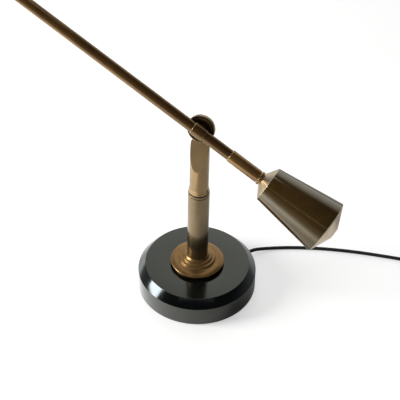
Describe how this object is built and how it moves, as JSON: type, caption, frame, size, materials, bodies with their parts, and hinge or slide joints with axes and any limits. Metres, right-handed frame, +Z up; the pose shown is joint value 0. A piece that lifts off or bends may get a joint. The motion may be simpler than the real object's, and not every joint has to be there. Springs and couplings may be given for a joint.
{
  "type": "desk lamp",
  "caption": "Counterweight balance desk lamp in antique bronze on a round dark painted cast base, with a long balanced arm, tilting cone shade and mains cord",
  "frame": {"origin": "middle of the round underside of the base, on the surface that the lamp stands on", "axes": "+Z is up along the stem, -Y is the side that the joint disc faces, +X is the side of the counterweight"},
  "size_m": [1.046, 0.2844, 0.5542],
  "materials": {
    "painted_iron": "satin paint",
    "antique_brass": "satin, darkened",
    "bright_steel": "satin",
    "dark_fibre": "matte",
    "cream_plastic": "matte",
    "black_plastic": "matte",
    "black_rubber": "matte",
    "opal_glass": "opal"
  },
  "bodies": {
    "base": {"base_body": "painted_iron", "base_plate": "bright_steel", "base_plate_screws": "bright_steel", "base_pad": "black_rubber", "base_rosette": "antique_brass", "stem_nipple": "antique_brass", "stem_nut": "bright_steel", "stem_washer": "bright_steel", "stem_foot_plug": "bright_steel", "lower_stem": "antique_brass", "swivel_bush": "antique_brass", "swivel_stop_pin": "bright_steel", "collar_ring": "antique_brass", "swivel_washer": "dark_fibre", "terminal_block": "cream_plastic", "cord_clamp": "black_plastic", "mains_tail": "black_rubber", "cord_gland": "black_rubber", "stem_lead": "black_rubber", "cord_run": "black_rubber", "cord_coil": "black_rubber", "cord_tail": "black_rubber", "coil_tie": "black_plastic", "plug_body": "black_plastic", "plug_pins": "bright_steel"},
    "upper_stem_body": {"upper_stem": "antique_brass", "spigot_retaining_ring": "bright_steel", "joint_washer": "dark_fibre"},
    "arm": {"joint_disc": "antique_brass", "arm_saddle": "antique_brass", "pivot_stud": "antique_brass", "pivot_washer": "bright_steel", "pivot_spring_washer": "bright_steel", "pivot_nut": "antique_brass", "arm_tube": "antique_brass", "arm_sleeve": "antique_brass", "neck_ring": "antique_brass", "weight_stud": "bright_steel", "counterweight_body": "antique_brass", "counterweight_core": "bright_steel", "counterweight_cap": "antique_brass", "cap_screw": "antique_brass", "arm_end_knuckle": "antique_brass", "knuckle_washer": "dark_fibre", "arm_lead": "black_rubber"},
    "shade": {"shade_knuckle": "antique_brass", "knuckle_screw": "antique_brass", "knuckle_nut": "antique_brass", "shade_nipple": "antique_brass", "nipple_nut": "antique_brass", "shade_cap": "antique_brass", "shade_shell": "antique_brass", "lampholder": "black_plastic", "lampholder_ring": "black_plastic", "bulb_glass": "opal_glass", "bulb_cap": "antique_brass", "switch_body": "black_plastic", "switch_ring": "antique_brass"},
    "switch_plunger": {"switch_button": "black_plastic"}
  },
  "joints": [
    {"name": "stem_swivel", "type": "hinge", "parent": "base", "child": "upper_stem_body", "pos_m": [0, 0, 0.165], "axis": [0, 0, 1], "range_deg": [-160, 160]},
    {"name": "arm_tilt", "type": "hinge", "parent": "upper_stem_body", "child": "arm", "pos_m": [0, 0, 0.2735], "axis": [0, -0.9483, 0.3173], "range_deg": [-60, 35]},
    {"name": "shade_tilt", "type": "hinge", "parent": "arm", "child": "shade", "pos_m": [-0.55291, 0.091, 0.53885], "axis": [0, -0.9483, 0.3173], "range_deg": [-100, 25]},
    {"name": "switch_press", "type": "slide", "parent": "shade", "child": "switch_plunger", "axis": [0, 0.9483, -0.3173], "range_m": [0, 0.0025], "stiffness_N_per_m": 400, "springref_m": -0.002}
  ]
}
